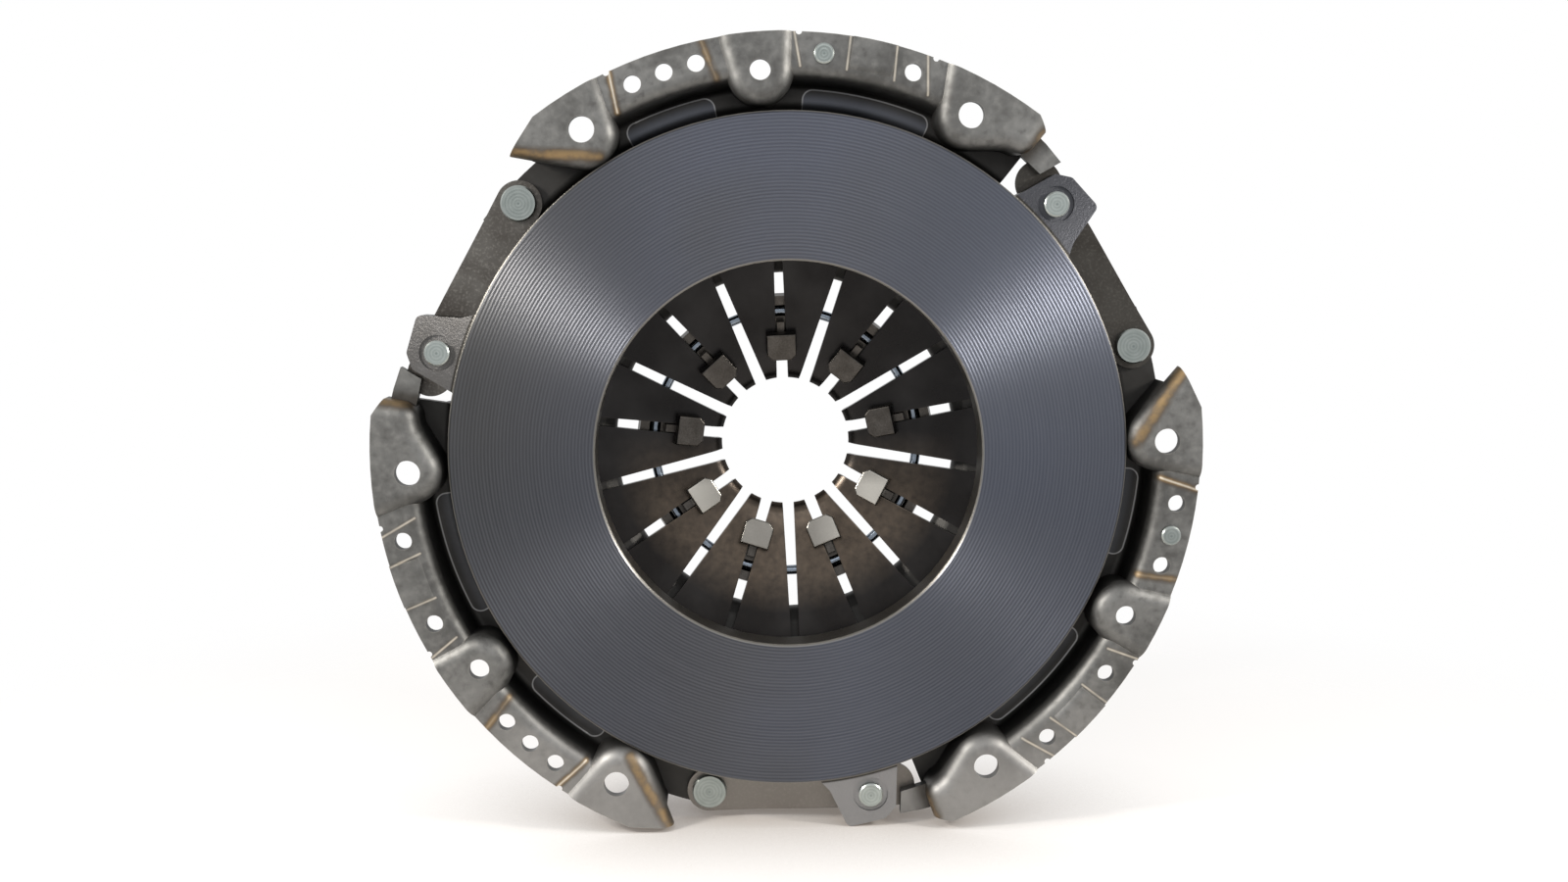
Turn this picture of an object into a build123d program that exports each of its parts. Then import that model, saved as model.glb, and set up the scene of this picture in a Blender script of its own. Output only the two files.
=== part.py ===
"""Diaphragm clutch cover assembly with centrifugal weights, as it comes off the shelf, not bolted down.

The clutch axis is Y. The flywheel side faces -Y and the gearbox side +Y, with Z up. The origin is the
centre of the bolt circle, on the plane of the pads that seat on the flywheel. Lengths are millimetres.
Places round the axis are given as a radius and an angle, counted from +X towards +Z.
"""

from build123d import *
import os
from math import atan2, cos, degrees, hypot, radians, sin, tan

# ---- whole clutch ----
THIRDS = 3                      # the cover repeats three times round the axis
RUN_GAP = 0.3                   # clearance between parts that move on each other

# ---- radial sizes: everything outside the friction ring is a width added to it ----
FACE_OUTER_R = 133.35
BOWL_R = FACE_OUTER_R + 0.85            # wall of the bowl, clear of the ring
LAND_WALL_R = BOWL_R + 12.0             # wall that falls from the flange to the shelf
COVER_R = LAND_WALL_R + 16.2            # rim of the flange
OUTSIDE_R = COVER_R + 9.6               # radius well outside everything

# ---- cover: pressed steel ----
SHEET = 4.0
LAND_DEPTH = 2.5                # flange between the pads, behind the flywheel plane
WALL_DRAFT = 2.2
LAND_BEND_R = 5.4
SHELF_DEPTH = 20.0
SHELF_BEND_R = 3.0
SHELF_RUN = 4.4                 # flat of the shelf before the bowl's own wall takes over
BOWL_BEND_R = 4.0
BOWL_KNEE_R = BOWL_R - 6.2      # the wall leans in from here down to the floor
BOWL_KNEE_DEPTH = 34.6
BOWL_WALL_DEPTH = 27.0          # foot of the upright stretch of the wall
WALL_BEND_R = 5.0
FLOOR_BEND_R = 8.0
FLOOR_DEPTH = 39.4              # flat floor that carries the fulcrum rivets
FLOOR_OUTER_R = BOWL_R - 16.2
FLOOR_INNER_R = 87.8
LIP_R = 71.0                    # central opening
LIP_START = 48.0
LIP_DEPTH = 52.0
LIP_BEND_R = 4.5
CONE_START_R = LIP_R + 5.0      # inside the flat floor the sheet slopes with the diaphragm
CONE_START_DEPTH = FLOOR_DEPTH + 4.0
LEDGE_R = LAND_WALL_R + 4.8     # ledges under the strap rivets
ROLL_DEPTH = 8.0                # how far the rolled end of a pad falls outside its ledge
PAD_EDGE_R = 6.5                # bend round the pads
PAD_BACK_R = 0.8                # least bend inside the sheet
CREASE_DEPTH = 1.5              # raised stretch of the flange, between two creases
CREASE_DIP = 1.8                # where that stretch dips into the roll
WINDOW_INNER_R = BOWL_R - 0.6   # openings for the lugs

# ---- holes in the flange ----
BOLT_CIRCLE_R = COVER_R - 14.0
BOLT_HOLE_R = 5.0
DOWEL_HOLE_R = 4.0
SMALL_CIRCLE_R = COVER_R - 7.7
SMALL_HOLE_R = 3.4
NOTCH_R = 1.2

# ---- angles round one third of the cover ----
BOLT_A = 62.2
BOLT_B = 122.2
DOWEL = 94.35
SMALL_HOLES = (72.25, 85.2, 103.3, 108.0, 112.75)
CREASES = (75.2, 81.4)
NOTCHES = (69.9, 88.8, 115.4)
LEDGE_END = 142.5
SEAM = 40.0                     # where one drawn third meets the next, clear of every hole
PAD_A_CHAMFER = ((COVER_R - 3.2, 51.7), (COVER_R + 1.5, 55.0))
PAD_B_CHAMFER = ((COVER_R + 0.8, 126.0), (COVER_R - 5.1, 132.8))

# ---- raised pads: corners as radius, angle and rounding, the outermost beyond the rim ----
PAD_A = ((OUTSIDE_R + 5.2, 69.8, 0), (LAND_WALL_R - 15.7, 65.4, 13), (LAND_WALL_R - 1.1, 54.9, 9),
         (LAND_WALL_R + 0.2, 51.8, 7), (OUTSIDE_R, 51.6, 0))
DOWEL_PAD = ((OUTSIDE_R, 89.2, 0), (LAND_WALL_R - 76.5, 90.5, 13), (OUTSIDE_R, 100.5, 0))
PAD_B = ((OUTSIDE_R, 115.9, 0), (LAND_WALL_R - 23.6, 119.0, 13), (OUTSIDE_R, 136.4, 0), (OUTSIDE_R + 10.0, 127.0, 0))
PAD_A_END = 51.7

# ---- stop tabs, one behind each lug's strap ----
TAB_DEPTH = 11.0
TAB_OUTLINE = ((LAND_WALL_R + 11.7, 53.2), (LAND_WALL_R + 10.9, 50.4), (LAND_WALL_R + 9.6, 47.1),
               (LAND_WALL_R + 0.8, 48.2), (LAND_WALL_R + 1.5, 53.2))

# ---- drive straps: three spring-steel leaves each ----
STRAP_COVER_R = LAND_WALL_R - 2.2       # rivet at the cover end
STRAP_COVER_A = 17.0
STRAP_LUG_R = LAND_WALL_R - 3.9         # rivet at the lug end
STRAP_LUG_A = 43.4
STRAP_TAIL = 10.0               # from the lug rivet to the centre of the round end
STRAP_HALF = 9.0
LEAF = 0.8
LEAVES = ("front", "middle", "rear")
STRAP_FLAT = 13.0               # flat stretch beside each rivet

# ---- pressure plate: cast iron ----
FACE_DEPTH = 4.0                # friction face, free of the flywheel
FACE_INNER_R = 76.2
FACE_CHAMFER = 0.9
PLATE_RIM = 7.0                 # rim at full radius
PLATE_THICK = 14.0
PLATE_NECK_R = FACE_OUTER_R - 4.85
NECK_SLOPE = 3.0                # how far the rim tapers back to the neck
BEAD_R = FACE_OUTER_R - 11.35   # ridge that the diaphragm pushes on
BEAD_TOP_R = 4.0
BEAD_SPREAD = 1.5               # each flank, from the round top down to the back of the ring
BEAD_GAPS = 9
BEAD_GAP_WIDTH = 12.0
LUG_ANGLE = 43.0
LUG_RECESS = 1.2                # lug face behind the friction face
LUG_THICK = 10.1
LUG_ROOT = STRAP_LUG_R - 14.3
LUG_TIP = STRAP_LUG_R + 11.4
LUG_OUTLINE = ((-20.0, LUG_ROOT), (-14.7, STRAP_LUG_R - 5.1), (-10.9, LUG_TIP), (4.4, LUG_TIP),
               (9.9, LUG_TIP - 3.9), (13.2, STRAP_LUG_R - 5.9), (15.5, LUG_ROOT))
LUG_CORNER_R = 2.6
LUG_HEEL_R = 1.5
LUG_ROOT_R = 5.0
SPOTFACE_R = 7.0
SPOTFACE_DEPTH = 0.8

# ---- rivets ----
COVER_RIVET_HEAD_R = 7.0
COVER_RIVET_SHANK_R = 3.5
COVER_RIVET_TAIL_R = 5.0
COVER_RIVET_HEAD = 2.6
LUG_RIVET_HEAD_R = 4.9
LUG_RIVET_SHANK_R = 3.0
LUG_RIVET_HEAD = 2.6
TAIL_HEAD = 2.4                 # formed head behind either strap rivet
HEAD_EDGE = 0.5
BALANCE_HEAD_R = 3.9
BALANCE_HEAD = 1.6
BALANCE_HOLES = ((1, 0), (3, 2))        # which of the small holes, and in which third

# ---- diaphragm spring ----
FINGERS = 18
SPRING_OUTER_R = BEAD_R + 3.5
SPRING_INNER_R = 26.8
SPRING_THICK = 2.8
CONE = 14.8                     # free cone angle, degrees
FINGER_LIP = 3.4                # bent end of each finger
FINGER_LIP_ANGLE = 42.0
FINGER_BEND_R = 5.0
FIRST_SLOT = 12.6               # angle of the first slot, which carries a weight
SLOT_OUTER_HALF = 1.6
SLOT_INNER_HALF = 2.4
SLOT_ROOT_R = 94.5
SLOT_ROOT_HOLE_R = 4.6

# ---- fulcrum ----
FULCRUM_R = 100.5
FULCRUM_WIRE_R = 2.0
SEAT_GAP = 0.05                 # paint-thick gap between the wires and what they bear on
PIVOTS = 9
PIVOT_SHANK_R = 3.3
PIVOT_HEAD_R = 8.0
PIVOT_HEAD = 2.4
PIVOT_TAIL_R = 4.8
PIVOT_TAIL = 2.0

# ---- centrifugal weights and their ring ----
WEIGHTS = 9
RING_R = 55.2
RING_WIRE_R = 2.0
WEIGHT_HEAD_WIDTH = 12.4
WEIGHT_HEAD_START = 7.5         # along the finger from the ring, inwards
WEIGHT_HEAD_LENGTH = 11.4
WEIGHT_HEAD_THICK = 4.6
WEIGHT_CORNER = 2.2
WEIGHT_EDGE_R = 0.8
NECK_WIDTH = 3.0
NECK_SPAN = (3.4, 10.0)
BODY_WIDTH = 12.0
BODY_SPAN = (-6.8, 10.0)
BODY_THICK = 6.4
BODY_EDGE_R = 2.4
HOOK_OPEN = 6.0                 # the hook's open side, towards the fingers

BEHIND = 70.0                   # depth well behind everything
CONE_RAD = radians(CONE)
THIRD = 360.0 / THIRDS


def spot(r, angle):
    """Plan-view point at a radius and an angle."""
    return (r * cos(radians(angle)), r * sin(radians(angle)))


def turn(angle):
    """Rotation round the clutch axis by an angle counted from +X towards +Z."""
    return Rot(0, -angle, 0)


def slab(outline, near, far):
    """Solid between two depths from an outline drawn as the flywheel sees it."""
    plane = Plane(origin=(0, far, 0), x_dir=(1, 0, 0), z_dir=(0, -1, 0))
    return extrude(plane * outline, amount=far - near)


def pin(r, angle, radius, near, far):
    """Round bar along the clutch axis."""
    return slab(Pos(*spot(r, angle)) * Circle(radius), near, far)


def turned(points, radii=0.0):
    """Solid of revolution from a closed outline of (radius, depth) points."""
    return revolve(make_face(FilletPolyline(*points, radius=radii, close=True)), axis=Axis.Y)


def wedge(start, end, inner=0.0, outer=OUTSIDE_R):
    """Plan outline of a sector between two angles and two radii."""
    middle = (start + end) / 2
    reach = outer / cos(radians(end - start) / 2)
    corners = [(0, 0), spot(reach, start), spot(reach, middle), spot(reach, end)]
    sector = make_face(Polyline(*corners, close=True)) & Circle(outer)
    return sector - Circle(inner) if inner else sector


def half_plane(start, end):
    """Plan outline of the large area on the right of a line from start to end."""
    a, b = Vector(*start), Vector(*end)
    along = (b - a).normalized()
    right = Vector(along.Y, -along.X)
    far = 2 * OUTSIDE_R
    corners = [a - along * far, b + along * far, b + along * far + right * far, a - along * far + right * far]
    return make_face(Polyline(*[(c.X, c.Y) for c in corners], close=True))


def thirds(shape):
    """The same shape at each third of the cover."""
    return [turn(k * THIRD) * shape for k in range(THIRDS)]


# ---------------------------------------------------------------- cover

def parallel(points, bends, depth):
    """A line of runs and bends moved to its right by a depth, with its bends kept concentric."""
    runs = [(Vector(*b) - Vector(*a)).normalized() for a, b in zip(points, points[1:])]
    sides = [Vector(run.Y, -run.X) for run in runs]
    moved = [Vector(*points[0]) + sides[0] * depth]
    new_bends = []
    for point, bend, before, after in zip(points[1:-1], bends, range(len(runs)), range(1, len(runs))):
        share = depth / (1 + sides[before].dot(sides[after]))
        moved.append(Vector(*point) + (sides[before] + sides[after]) * share)
        opens = runs[before].cross(runs[after]).Z > 0
        new_bends.append(bend + depth if opens else max(bend - depth, 0.5))
    moved.append(Vector(*points[-1]) + sides[-1] * depth)
    return [(p.X, p.Y) for p in moved], new_bends


def behind(points, bends, depth):
    """The space behind a pressed face that runs inwards from the rim, moved back by a depth."""
    points, bends = parallel(points, bends, depth)
    closing = [(points[-1][0], BEHIND), (points[0][0], BEHIND)]
    return turned(points + closing, [0.0] + bends + [0.0, 0.0, 0.0])


def bowl_side(depth):
    """The bowl with its shelf and floor, as the space behind its front or its back face."""
    points = [(OUTSIDE_R, SHELF_DEPTH), (BOWL_R + RUN_GAP, SHELF_DEPTH), (BOWL_R - RUN_GAP, BOWL_WALL_DEPTH)]
    points += [(BOWL_KNEE_R, BOWL_KNEE_DEPTH), (FLOOR_OUTER_R, FLOOR_DEPTH), (FLOOR_INNER_R, FLOOR_DEPTH)]
    points += [(CONE_START_R, CONE_START_DEPTH), (LIP_R, LIP_START), (LIP_R, BEHIND - SHEET)]
    bends = [BOWL_BEND_R, WALL_BEND_R, WALL_BEND_R, FLOOR_BEND_R, FLOOR_BEND_R, LIP_BEND_R, LIP_BEND_R]
    return behind(points, bends, depth)


def land_side(depth):
    """The flange between the pads and its wall, from the middle of pad A to the middle of pad B."""
    foot = LAND_WALL_R - WALL_DRAFT
    points = [(OUTSIDE_R, LAND_DEPTH), (LAND_WALL_R, LAND_DEPTH), (foot, SHELF_DEPTH), (foot - SHELF_RUN, SHELF_DEPTH)]
    space = behind(points, [LAND_BEND_R, SHELF_BEND_R], depth)
    return space & slab(wedge(BOLT_A - 2, BOLT_B + 2), -1, BEHIND + 1)


def crease_side(depth):
    """The stretch of flange between two creases: it stands proud and dips into the roll at its inner end."""
    dip_r = LAND_WALL_R + CREASE_DIP
    points = [(OUTSIDE_R, CREASE_DEPTH), (LAND_WALL_R + LAND_BEND_R, CREASE_DEPTH)]
    points += [(dip_r, LAND_DEPTH + CREASE_DIP), (dip_r, BEHIND - SHEET)]
    space = behind(points, [LAND_BEND_R, CREASE_DIP / 2], depth)
    return space & slab(wedge(*CREASES), -1, BEHIND + 1)


def polar_outline(corners):
    """Plan outline from corners, each given as a radius, an angle and how much it is rounded."""
    points = [spot(r, angle) for r, angle, _ in corners]
    return make_face(FilletPolyline(*points, radius=[rounding for *_, rounding in corners], close=True))


def raised(outline, depth):
    """A pad, as the space behind its front or its back face."""
    if depth:
        outline = offset(outline, amount=-depth)
    space = slab(outline, depth, BEHIND)
    bent = [e for e in space.edges().group_by(Axis.Y)[0] if rim_distance(e) < COVER_R]
    return fillet(bent, max(PAD_EDGE_R - depth, PAD_BACK_R))


def rim_distance(edge):
    """How far the middle of an edge is from the clutch axis."""
    middle = edge @ 0.5
    return hypot(middle.X, middle.Z)


def third_side(depth):
    """One third of the flange, as the space behind its front or its back face."""
    space = land_side(depth) + crease_side(depth)
    for corners in (PAD_A, DOWEL_PAD, PAD_B):
        space = space + raised(polar_outline(corners), depth)
    return space


def third_cuts():
    """What is pierced or trimmed from one third of the cover."""
    cuts = [pin(BOLT_CIRCLE_R, angle, BOLT_HOLE_R, -1, 12) for angle in (BOLT_A, BOLT_B)]
    cuts.append(pin(BOLT_CIRCLE_R, DOWEL, DOWEL_HOLE_R, -1, 12))
    cuts += [pin(SMALL_CIRCLE_R, angle, SMALL_HOLE_R, -1, 12) for angle in SMALL_HOLES]
    cuts += [pin(COVER_R, angle, NOTCH_R, -1, 12) for angle in NOTCHES]
    rivet_hole = (STRAP_COVER_R, STRAP_COVER_A + THIRD, COVER_RIVET_SHANK_R)
    cuts.append(pin(*rivet_hole, SHELF_DEPTH - 1, SHELF_DEPTH + SHEET + 1))
    for start in (LEDGE_END - THIRD, LEDGE_END):
        window = wedge(start, start + PAD_A_END + THIRD - LEDGE_END, inner=WINDOW_INNER_R)
        cuts.append(slab(window, -1, BEHIND))
    cuts.append(slab(wedge(BOLT_B + 4, LEDGE_END + 1, inner=LEDGE_R), ROLL_DEPTH, BEHIND))
    end_wall_r = LAND_WALL_R + SHEET + 0.2
    cuts.append(slab(wedge(PAD_A_END - 1, BOLT_A - 2, inner=end_wall_r), TAB_DEPTH + SHEET, BEHIND))
    for line, nearby in ((PAD_A_CHAMFER, wedge(PAD_A_END - 1, BOLT_A)), (PAD_B_CHAMFER, wedge(BOLT_B, LEDGE_END))):
        beyond = half_plane(*[spot(*p) for p in line])
        cuts.append(slab(beyond & nearby, -1, BEHIND))
    return cuts


def stop_tab():
    """Tab at the foot of pad A's end wall, which the strap's tail rests against."""
    outline = make_face(Polyline(*[spot(*p) for p in TAB_OUTLINE], close=True))
    return slab(outline, TAB_DEPTH, TAB_DEPTH + SHEET)


def make_cover():
    """The pressed cover: each third is the space behind its front face less the space behind its back face."""
    third = (bowl_side(0.0) + third_side(0.0)) - (bowl_side(SHEET) + third_side(SHEET))
    third = third & slab(wedge(SEAM, SEAM + THIRD, inner=LIP_R - 1, outer=COVER_R), -1, LIP_DEPTH)
    for cut in third_cuts():
        third = third - cut
    for angle in pivot_angles():
        third = third - pin(SLOT_ROOT_R, angle, PIVOT_SHANK_R, FLOOR_DEPTH - 2, FLOOR_DEPTH + SHEET + 2)
    first, *others = thirds(third + stop_tab())
    return first + others


# ---------------------------------------------------------------- pressure plate

def lug_outline():
    """Plan outline of a lug that points along +X, with rounded corners."""
    points = [(r, x) for x, r in LUG_OUTLINE]
    radii = [0.0, LUG_ROOT_R, LUG_CORNER_R, LUG_CORNER_R, LUG_HEEL_R, LUG_ROOT_R, 0.0]
    return make_face(FilletPolyline(*points, radius=radii, close=True))


def make_pressure_plate():
    """Cast ring with its friction face, the ridge for the diaphragm and three drive lugs."""
    back = FACE_DEPTH + PLATE_THICK
    step = FACE_DEPTH + PLATE_RIM
    ring = turned([
        (FACE_INNER_R, FACE_DEPTH + FACE_CHAMFER), (FACE_INNER_R + FACE_CHAMFER, FACE_DEPTH),
        (FACE_OUTER_R - FACE_CHAMFER, FACE_DEPTH), (FACE_OUTER_R, FACE_DEPTH + FACE_CHAMFER),
        (FACE_OUTER_R, step), (PLATE_NECK_R, step + NECK_SLOPE), (PLATE_NECK_R, back), (FACE_INNER_R, back)])
    centre = spring_front(BEAD_R) - (BEAD_TOP_R + RUN_GAP) / cos(CONE_RAD)
    foot = BEAD_TOP_R + BEAD_SPREAD
    bead = wire_ring(BEAD_R, centre, BEAD_TOP_R) + turned([
        (BEAD_R - foot, back - 1), (BEAD_R - BEAD_TOP_R, centre),
        (BEAD_R + BEAD_TOP_R, centre), (BEAD_R + foot, back - 1)])
    for k in range(BEAD_GAPS):
        gap = Pos(BEAD_R, 0) * Rectangle(3 * foot, BEAD_GAP_WIDTH)
        bead = bead - turn(FIRST_SLOT + k * 360.0 / BEAD_GAPS) * slab(gap, back, BEHIND)
    plate = ring + bead
    near = FACE_DEPTH + LUG_RECESS
    for k in range(THIRDS):
        lug = slab(lug_outline(), near, near + LUG_THICK) - slab(Circle(FACE_OUTER_R - 1.0), near - 1, near + LUG_THICK + 1)
        plate = plate + turn(LUG_ANGLE + k * THIRD) * lug
    for k in range(THIRDS):
        angle = STRAP_LUG_A + k * THIRD
        plate = plate - pin(STRAP_LUG_R, angle, SPOTFACE_R, 0, near + SPOTFACE_DEPTH)
        plate = plate - pin(STRAP_LUG_R, angle, LUG_RIVET_SHANK_R, 0, BEHIND)
    return plate


# ---------------------------------------------------------------- drive straps and rivets

def strap_front():
    """Depth of the strap pack's front face at its cover end and at its lug end."""
    return SHELF_DEPTH - len(LEAVES) * LEAF, FACE_DEPTH + LUG_RECESS + LUG_THICK


def make_leaf(layer):
    """One leaf of the first strap: a flat stretch at each rivet and a gentle slope between."""
    start, end = Vector(*spot(STRAP_COVER_R, STRAP_COVER_A)), Vector(*spot(STRAP_LUG_R, STRAP_LUG_A))
    along = (end - start).normalized()
    span = (end - start).length
    cover_y, lug_y = [face + layer * LEAF for face in strap_front()]
    tail = span + STRAP_TAIL + STRAP_HALF
    side = [(-STRAP_HALF, cover_y), (STRAP_FLAT, cover_y), (span - STRAP_FLAT, lug_y), (tail, lug_y)]
    side += [(x, y + LEAF) for x, y in reversed(side)]
    middle = Plane(origin=(start.X, 0, start.Y), x_dir=(along.X, 0, along.Y), z_dir=(along.Y, 0, -along.X))
    local_y = middle.y_dir.Y
    band = extrude(middle * make_face(Polyline(*[(x, y * local_y) for x, y in side], close=True)),
                   amount=STRAP_HALF + 1, both=True)
    centre = start + along * ((span + STRAP_TAIL) / 2)
    slope = degrees(atan2(along.Y, along.X))
    plan = Pos(centre.X, centre.Y) * Rot(0, 0, slope) * SlotCenterToCenter(span + STRAP_TAIL, 2 * STRAP_HALF)
    leaf = band & slab(plan, 0, BEHIND)
    leaf = leaf - pin(STRAP_COVER_R, STRAP_COVER_A, COVER_RIVET_SHANK_R, 0, BEHIND)
    return leaf - pin(STRAP_LUG_R, STRAP_LUG_A, LUG_RIVET_SHANK_R, 0, BEHIND)


def rivet(r, angle, shank_r, head_r, head, tail_r, tail, near, far):
    """Rivet that grips from one depth to another, with its made head facing the flywheel."""
    points = [(0, near - head), (head_r - HEAD_EDGE, near - head), (head_r, near - head + HEAD_EDGE), (head_r, near)]
    points += [(shank_r, near), (shank_r, far), (tail_r, far), (tail_r - HEAD_EDGE, far + tail), (0, far + tail)]
    x, z = spot(r, angle)
    return Pos(x, 0, z) * turned(points)


def make_cover_strap_rivets():
    """Rivets that hold the straps to the ledges of the cover."""
    return group(turn(k * THIRD) * rivet(
        STRAP_COVER_R, STRAP_COVER_A, COVER_RIVET_SHANK_R, COVER_RIVET_HEAD_R, COVER_RIVET_HEAD,
        COVER_RIVET_TAIL_R, TAIL_HEAD, strap_front()[0], SHELF_DEPTH + SHEET) for k in range(THIRDS))


def make_lug_rivets():
    """Rivets that hold the straps to the lugs of the pressure plate."""
    near = FACE_DEPTH + LUG_RECESS + SPOTFACE_DEPTH
    far = strap_front()[1] + len(LEAVES) * LEAF
    return group(turn(k * THIRD) * rivet(
        STRAP_LUG_R, STRAP_LUG_A, LUG_RIVET_SHANK_R, LUG_RIVET_HEAD_R, LUG_RIVET_HEAD,
        LUG_RIVET_HEAD_R, TAIL_HEAD, near, far) for k in range(THIRDS))


def make_balance_rivets():
    """Rivets that balance the finished clutch, in two of the small holes."""
    return group(rivet(
        SMALL_CIRCLE_R, SMALL_HOLES[hole] + third * THIRD, SMALL_HOLE_R, BALANCE_HEAD_R, BALANCE_HEAD,
        BALANCE_HEAD_R, BALANCE_HEAD, LAND_DEPTH, LAND_DEPTH + SHEET) for hole, third in BALANCE_HOLES)


# ---------------------------------------------------------------- diaphragm spring and fulcrum

def spring_front(r):
    """Depth of the diaphragm's front face at a radius, set by the rear ring resting on the cover's floor."""
    at_ring = FLOOR_DEPTH - SEAT_GAP - FULCRUM_WIRE_R - (SPRING_THICK + FULCRUM_WIRE_R + SEAT_GAP) * cos(CONE_RAD)
    return at_ring + (FULCRUM_R - r) * tan(CONE_RAD)


def pivot_angles():
    """Angles of the fulcrum rivets, between the slots that carry weights."""
    pitch = 360.0 / PIVOTS
    return [FIRST_SLOT + pitch / 2 + k * pitch for k in range(PIVOTS)]


def make_diaphragm_spring():
    """Slotted cone whose fingers end in a bent lip for the release bearing."""
    lip_r = SPRING_INNER_R + FINGER_LIP
    lip = FINGER_LIP * tan(radians(FINGER_LIP_ANGLE))
    front = [(SPRING_OUTER_R, spring_front(SPRING_OUTER_R)), (lip_r, spring_front(lip_r)),
             (SPRING_INNER_R, spring_front(lip_r) + lip)]
    line, bends = parallel(front, [FINGER_BEND_R], SPRING_THICK)
    outline = front + list(reversed(line))
    spring = turned(outline, [0.0, FINGER_BEND_R, 0.0, 0.0, bends[0], 0.0])
    inner, root = SPRING_INNER_R - 3, SLOT_ROOT_R
    slot = make_face(Polyline((inner, -SLOT_INNER_HALF), (root, -SLOT_OUTER_HALF),
                              (root, SLOT_OUTER_HALF), (inner, SLOT_INNER_HALF), close=True))
    slot = slot + Pos(root, 0) * Circle(SLOT_ROOT_HOLE_R)
    slots = [turn(FIRST_SLOT + k * 360.0 / FINGERS) * slab(slot, 0, BEHIND) for k in range(FINGERS)]
    return spring - slots


def wire_ring(r, depth, wire_r):
    """Closed ring of round wire."""
    return revolve(Pos(r, depth) * Circle(wire_r), axis=Axis.Y)


def fulcrum_centre(side):
    """Radius and depth of a fulcrum wire's centre, on the front (-1) or rear (+1) of the diaphragm."""
    away = FULCRUM_WIRE_R + SEAT_GAP + (SPRING_THICK if side > 0 else 0.0)
    return (FULCRUM_R + side * away * sin(CONE_RAD), spring_front(FULCRUM_R) + side * away * cos(CONE_RAD))


def make_fulcrum_ring(side):
    """Wire ring that the diaphragm rocks on."""
    r, depth = fulcrum_centre(side)
    return wire_ring(r, depth, FULCRUM_WIRE_R)


def make_fulcrum_rivets():
    """Shouldered rivets that clamp the diaphragm between its two rings."""
    near = fulcrum_centre(-1)[1] - FULCRUM_WIRE_R - SEAT_GAP
    return group(rivet(SLOT_ROOT_R, angle, PIVOT_SHANK_R, PIVOT_HEAD_R, PIVOT_HEAD, PIVOT_TAIL_R, PIVOT_TAIL,
                       near, FLOOR_DEPTH + SHEET) for angle in pivot_angles())


# ---------------------------------------------------------------- centrifugal weights

def ring_depth():
    """Depth of the weight ring's centre, against the back of the fingers."""
    away = (SPRING_THICK + RUN_GAP + RING_WIRE_R) / cos(CONE_RAD)
    return spring_front(RING_R) + away


def make_weight_ring():
    """Wire ring that all the weights hook on."""
    return wire_ring(RING_R, ring_depth(), RING_WIRE_R)


def make_weight():
    """One weight at angle 0: a head before the fingers, a neck through the slot and a hooked body behind.

    It is drawn along the finger, u inwards from the ring and v towards the flywheel, and then tilted.
    """
    back = RING_WIRE_R
    front = RING_WIRE_R + RUN_GAP + SPRING_THICK + RUN_GAP
    head_end = WEIGHT_HEAD_START + WEIGHT_HEAD_LENGTH
    head = Box(WEIGHT_HEAD_LENGTH, WEIGHT_HEAD_THICK, WEIGHT_HEAD_WIDTH)
    head = Pos(WEIGHT_HEAD_START + WEIGHT_HEAD_LENGTH / 2, front + WEIGHT_HEAD_THICK / 2, 0) * head
    inner_edges = head.edges().filter_by(Axis.Y).group_by(Axis.X)[-1]
    head = chamfer(inner_edges, WEIGHT_CORNER)
    head = fillet(head.edges().group_by(Axis.Y)[-1], WEIGHT_EDGE_R)
    neck_length = NECK_SPAN[1] - NECK_SPAN[0]
    neck = Pos(sum(NECK_SPAN) / 2, (back + front) / 2, 0) * Box(neck_length, front - back + 1, NECK_WIDTH)
    body_length = BODY_SPAN[1] - BODY_SPAN[0]
    body = Pos(sum(BODY_SPAN) / 2, back - BODY_THICK / 2, 0) * Box(body_length, BODY_THICK, BODY_WIDTH)
    body = fillet(body.edges().filter_by(Axis.Z).group_by(Axis.Y)[0], BODY_EDGE_R)
    weight = head + neck + body
    tilt = Rot(0, 0, -CONE)
    flip = Plane(origin=(RING_R, ring_depth(), 0), x_dir=(-1, 0, 0), z_dir=(0, 0, 1))
    weight = flip * tilt * weight
    hook_r = RING_WIRE_R + RUN_GAP
    groove = wire_ring(RING_R, ring_depth(), hook_r)
    inner, outer, near = RING_R - hook_r, RING_R + hook_r, ring_depth() - HOOK_OPEN
    open_side = turned([(inner, ring_depth()), (outer, ring_depth()), (outer, near), (inner, near)])
    return weight - groove - open_side


# ---------------------------------------------------------------- assembly

def group(solids):
    """Separate like pieces as one node."""
    return Compound(children=[s.solid() for s in solids])


def make_nodes():
    """Every node of the clutch by name."""
    nodes = {
        "cover": make_cover(),
        "pressure_plate": make_pressure_plate(),
        "diaphragm_spring": make_diaphragm_spring(),
        "fulcrum_ring_front": make_fulcrum_ring(-1),
        "fulcrum_ring_rear": make_fulcrum_ring(1),
        "fulcrum_rivets": make_fulcrum_rivets(),
        "cover_strap_rivets": make_cover_strap_rivets(),
        "lug_rivets": make_lug_rivets(),
        "balance_rivets": make_balance_rivets(),
        "weight_ring": make_weight_ring(),
    }
    for layer, name in enumerate(LEAVES):
        leaf = make_leaf(layer)
        for k in range(THIRDS):
            nodes[f"drive_strap_{k + 1}_{name}_leaf"] = turn(k * THIRD) * leaf
    weight = make_weight()
    for k in range(WEIGHTS):
        nodes[f"weight_{k + 1}"] = turn(FIRST_SLOT + k * 360.0 / WEIGHTS) * weight
    return nodes


def main():
    """Write each node to its own STEP file."""
    os.makedirs("parts", exist_ok=True)
    for name, shape in make_nodes().items():
        export_step(shape, f"parts/{name}.step")


main()
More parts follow.
